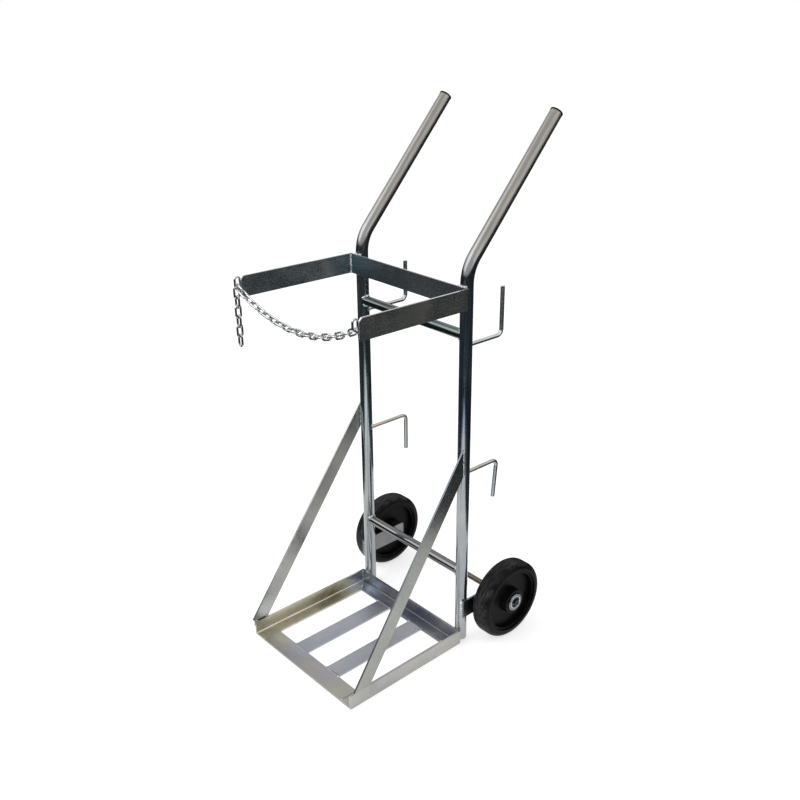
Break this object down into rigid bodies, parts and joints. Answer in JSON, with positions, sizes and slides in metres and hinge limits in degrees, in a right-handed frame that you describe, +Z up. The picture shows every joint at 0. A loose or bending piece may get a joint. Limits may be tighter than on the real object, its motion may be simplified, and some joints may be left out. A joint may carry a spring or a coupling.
{
  "type": "gas cylinder trolley",
  "caption": "Welded tube trolley for gas cylinders, with bent back handles, a flat-bar hoop closed by a chain, hose hooks, a slatted tray and solid tyred wheels.",
  "frame": {"origin": "on the floor, below the middle of the whole part", "axes": "+X to the trolley's right seen from the front, +Y to the back where the wheels and handles are, +Z up"},
  "size_m": [0.4556, 0.5498, 1.0821],
  "materials": {
    "steel": "bright zinc plate over drawn steel",
    "axle_steel": "plain bar, dull plate",
    "bright_zinc": "bright zinc",
    "chain": "bright zinc, welded links",
    "tyre": "moulded solid rubber",
    "wheel_centre": "moulded, satin",
    "bush": "plain steel tube",
    "plug": "moulded, satin"
  },
  "bodies": {
    "frame": {"upright_left": "steel", "upright_right": "steel", "handle_plug_left": "plug", "handle_plug_right": "plug", "upper_cross_tube": "steel", "lower_cross_tube": "steel", "hoop_back_bar": "steel", "hoop_left_bar": "steel", "hoop_right_bar": "steel", "hook_upper_left": "steel", "hook_upper_right": "steel", "hook_lower_left": "steel", "hook_lower_right": "steel", "base_left_angle": "steel", "base_right_angle": "steel", "base_back_angle": "steel", "base_front_bar": "steel", "base_slat_left": "steel", "base_slat_right": "steel", "brace_left": "steel", "brace_right": "steel", "axle_bracket_left": "steel", "axle_bracket_right": "steel", "axle": "axle_steel", "washer_inner_left": "bright_zinc", "washer_inner_right": "bright_zinc", "washer_outer_left": "bright_zinc", "washer_outer_right": "bright_zinc", "split_pin_left": "bright_zinc", "split_pin_right": "bright_zinc", "chain_anchor_left": "chain", "chain_anchor_right": "chain"},
    "wheel_left": {"tyre_left": "tyre", "wheel_centre_left": "wheel_centre", "hub_bush_left": "bush"},
    "wheel_right": {"tyre_right": "tyre", "wheel_centre_right": "wheel_centre", "hub_bush_right": "bush"},
    "chain": {"chain_span": "chain"},
    "tail_1": {"chain_tail_link_1": "chain"},
    "tail_2": {"chain_tail_link_2": "chain"},
    "tail_3": {"chain_tail_link_3": "chain"},
    "tail_4": {"chain_tail_link_4": "chain"},
    "tail_5": {"chain_tail_link_5": "chain"},
    "tail_6": {"chain_tail_link_6": "chain"}
  },
  "joints": [
    {"name": "wheel_left_spin", "type": "hinge", "parent": "frame", "child": "wheel_left", "pos_m": [-0.1946, 0.12666, 0.0855], "axis": [1, 0, 0], "continuous": true},
    {"name": "wheel_right_spin", "type": "hinge", "parent": "frame", "child": "wheel_right", "pos_m": [0.1946, 0.12666, 0.0855], "axis": [1, 0, 0], "continuous": true},
    {"name": "chain_swing", "type": "hinge", "parent": "frame", "child": "chain", "pos_m": [0, -0.23919, 0.76755], "axis": [0.9997, 0.0239, 0], "range_deg": [-70, 6]},
    {"name": "tail_swing_1", "type": "hinge", "parent": "chain", "child": "tail_1", "pos_m": [-0.17149, -0.2433, 0.75858], "axis": [0.9997, 0.0239, 0], "range_deg": [-60, 6]},
    {"name": "tail_swing_2", "type": "hinge", "parent": "tail_1", "child": "tail_2", "pos_m": [-0.17149, -0.2433, 0.73978], "axis": [-0.0239, 0.9997, 0], "range_deg": [-35, 35]},
    {"name": "tail_swing_3", "type": "hinge", "parent": "tail_2", "child": "tail_3", "pos_m": [-0.17149, -0.2433, 0.72098], "axis": [0.9997, 0.0239, 0], "range_deg": [-35, 35]},
    {"name": "tail_swing_4", "type": "hinge", "parent": "tail_3", "child": "tail_4", "pos_m": [-0.17149, -0.2433, 0.70218], "axis": [-0.0239, 0.9997, 0], "range_deg": [-35, 35]},
    {"name": "tail_swing_5", "type": "hinge", "parent": "tail_4", "child": "tail_5", "pos_m": [-0.17149, -0.2433, 0.68338], "axis": [0.9997, 0.0239, 0], "range_deg": [-35, 35]},
    {"name": "tail_swing_6", "type": "hinge", "parent": "tail_5", "child": "tail_6", "pos_m": [-0.17149, -0.2433, 0.66458], "axis": [-0.0239, 0.9997, 0], "range_deg": [-35, 35]}
  ]
}
